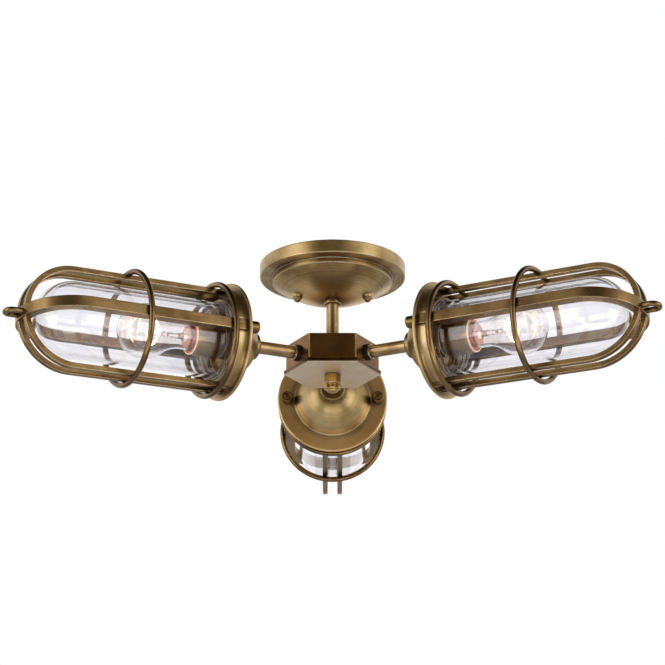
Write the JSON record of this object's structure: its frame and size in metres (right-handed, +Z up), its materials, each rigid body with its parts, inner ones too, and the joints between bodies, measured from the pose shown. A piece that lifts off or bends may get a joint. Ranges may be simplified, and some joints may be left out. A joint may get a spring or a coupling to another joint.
{
  "type": "semi flush ceiling light",
  "caption": "Semi flush ceiling light: a stepped round canopy and short stem carry a hexagonal hub with arms, each ending in a clear jar light inside a bar and ring guard.",
  "frame": {"origin": "on the ceiling plane, at the middle of the mounting plate and canopy", "axes": "+Z up into the ceiling along the stem, +X to the right along the line through the two cap nuts, +Y to the back along the rear arm"},
  "size_m": [0.6838, 0.6105, 0.1845],
  "materials": {
    "brass": "brushed, aged dark",
    "zinc_steel": "zinc plated",
    "earth_green": "green coated",
    "rubber": "matt",
    "clear_glass": "clear",
    "socket_metal": "brushed",
    "socket_ceramic": "glazed brown",
    "cap_metal": "rolled thread",
    "bulb_glass": "clear, thin",
    "bulb_inner_glass": "clear, with the filament"
  },
  "bodies": {
    "fixture": {"canopy": "brass", "mounting_plate": "zinc_steel", "canopy_studs": "zinc_steel", "earth_screw": "earth_green", "centre_rod": "zinc_steel", "rod_nuts": "zinc_steel", "stem_collar": "brass", "stem_tube": "brass", "hub_body": "brass", "hub_base_plate": "brass", "arm_gaskets": "rubber", "arm_lock_nuts": "zinc_steel", "cup_nuts": "zinc_steel", "glass_gaskets": "rubber", "arm_tube_back": "brass", "cup_back": "brass", "socket_shell_back": "socket_metal", "socket_liner_back": "socket_ceramic", "arm_tube_left": "brass", "cup_left": "brass", "socket_shell_left": "socket_metal", "socket_liner_left": "socket_ceramic", "arm_tube_right": "brass", "cup_right": "brass", "socket_shell_right": "socket_metal", "socket_liner_right": "socket_ceramic"},
    "cap_nut_left_body": {"cap_nut_left": "brass"},
    "cap_nut_right_body": {"cap_nut_right": "brass"},
    "finial_body": {"hub_finial": "brass"},
    "cage_back": {"wide_hoop_back": "brass", "guard_strips_back": "brass", "guard_rings_back": "brass", "eyelet_back": "brass"},
    "jar_back": {"glass_jar_back": "clear_glass"},
    "bulb_back": {"bulb_cap_back": "cap_metal", "bulb_glass_back": "bulb_glass", "bulb_stem_back": "bulb_inner_glass"},
    "thumb_a_back": {"thumb_screw_a_back": "brass"},
    "thumb_b_back": {"thumb_screw_b_back": "brass"},
    "cage_left": {"wide_hoop_left": "brass", "guard_strips_left": "brass", "guard_rings_left": "brass", "eyelet_left": "brass"},
    "jar_left": {"glass_jar_left": "clear_glass"},
    "bulb_left": {"bulb_cap_left": "cap_metal", "bulb_glass_left": "bulb_glass", "bulb_stem_left": "bulb_inner_glass"},
    "thumb_a_left": {"thumb_screw_a_left": "brass"},
    "thumb_b_left": {"thumb_screw_b_left": "brass"},
    "cage_right": {"wide_hoop_right": "brass", "guard_strips_right": "brass", "guard_rings_right": "brass", "eyelet_right": "brass"},
    "jar_right": {"glass_jar_right": "clear_glass"},
    "bulb_right": {"bulb_cap_right": "cap_metal", "bulb_glass_right": "bulb_glass", "bulb_stem_right": "bulb_inner_glass"},
    "thumb_a_right": {"thumb_screw_a_right": "brass"},
    "thumb_b_right": {"thumb_screw_b_right": "brass"}
  },
  "joints": [
    {"name": "cap_nut_left_turn", "type": "hinge", "parent": "fixture", "child": "cap_nut_left_body", "pos_m": [-0.03975, 0, -0.038], "axis": [0, 0, -1], "range_deg": [0, 1800]},
    {"name": "cap_nut_right_turn", "type": "hinge", "parent": "fixture", "child": "cap_nut_right_body", "pos_m": [0.03975, 0, -0.038], "axis": [0, 0, -1], "range_deg": [0, 1800]},
    {"name": "finial_turn", "type": "hinge", "parent": "fixture", "child": "finial_body", "pos_m": [0, 0, -0.138], "axis": [0, 0, -1], "range_deg": [0, 3600]},
    {"name": "cage_slide_back", "type": "slide", "parent": "fixture", "child": "cage_back", "axis": [0, 0.9994, -0.0349], "range_m": [0, 0.24]},
    {"name": "jar_turn_back", "type": "hinge", "parent": "fixture", "child": "jar_back", "pos_m": [0, 0.14991, -0.11493], "axis": [0, 0.9994, -0.0349], "range_deg": [0, 1080]},
    {"name": "bulb_turn_back", "type": "hinge", "parent": "fixture", "child": "bulb_back", "pos_m": [0, 0.1649, -0.11546], "axis": [0, 0.9994, -0.0349], "range_deg": [0, 1800]},
    {"name": "thumb_a_turn_back", "type": "hinge", "parent": "fixture", "child": "thumb_a_back", "pos_m": [-0.0535, 0.12992, -0.11424], "axis": [0, -0.9994, 0.0349], "range_deg": [0, 3600]},
    {"name": "thumb_b_turn_back", "type": "hinge", "parent": "fixture", "child": "thumb_b_back", "pos_m": [0.0535, 0.12992, -0.11424], "axis": [0, -0.9994, 0.0349], "range_deg": [0, 3600]},
    {"name": "cage_slide_left", "type": "slide", "parent": "fixture", "child": "cage_left", "axis": [-0.8653, -0.4996, -0.0419], "range_m": [0, 0.24]},
    {"name": "jar_turn_left", "type": "hinge", "parent": "fixture", "child": "jar_left", "pos_m": [-0.12979, -0.07493, -0.11598], "axis": [-0.8653, -0.4996, -0.0419], "range_deg": [0, 1080]},
    {"name": "bulb_turn_left", "type": "hinge", "parent": "fixture", "child": "bulb_left", "pos_m": [-0.14277, -0.08243, -0.11661], "axis": [-0.8653, -0.4996, -0.0419], "range_deg": [0, 1800]},
    {"name": "thumb_a_turn_left", "type": "hinge", "parent": "fixture", "child": "thumb_a_left", "pos_m": [-0.08582, -0.11129, -0.11328], "axis": [0.8653, 0.4996, 0.0419], "range_deg": [0, 3600]},
    {"name": "thumb_b_turn_left", "type": "hinge", "parent": "fixture", "child": "thumb_b_left", "pos_m": [-0.13915, -0.0186, -0.11701], "axis": [0.8653, 0.4996, 0.0419], "range_deg": [0, 3600]},
    {"name": "cage_slide_right", "type": "slide", "parent": "fixture", "child": "cage_right", "axis": [0.8657, -0.4998, -0.0262], "range_m": [0, 0.24]},
    {"name": "jar_turn_right", "type": "hinge", "parent": "fixture", "child": "jar_right", "pos_m": [0.12986, -0.07497, -0.11363], "axis": [0.8657, -0.4998, -0.0262], "range_deg": [0, 1080]},
    {"name": "bulb_turn_right", "type": "hinge", "parent": "fixture", "child": "bulb_right", "pos_m": [0.14285, -0.08247, -0.11402], "axis": [0.8657, -0.4998, -0.0262], "range_deg": [0, 1800]},
    {"name": "thumb_a_turn_right", "type": "hinge", "parent": "fixture", "child": "thumb_a_right", "pos_m": [0.13899, -0.01886, -0.11916], "axis": [-0.8657, 0.4998, 0.0262], "range_deg": [0, 3600]},
    {"name": "thumb_b_turn_right", "type": "hinge", "parent": "fixture", "child": "thumb_b_right", "pos_m": [0.0861, -0.11109, -0.10705], "axis": [-0.8657, 0.4998, 0.0262], "range_deg": [0, 3600]}
  ]
}
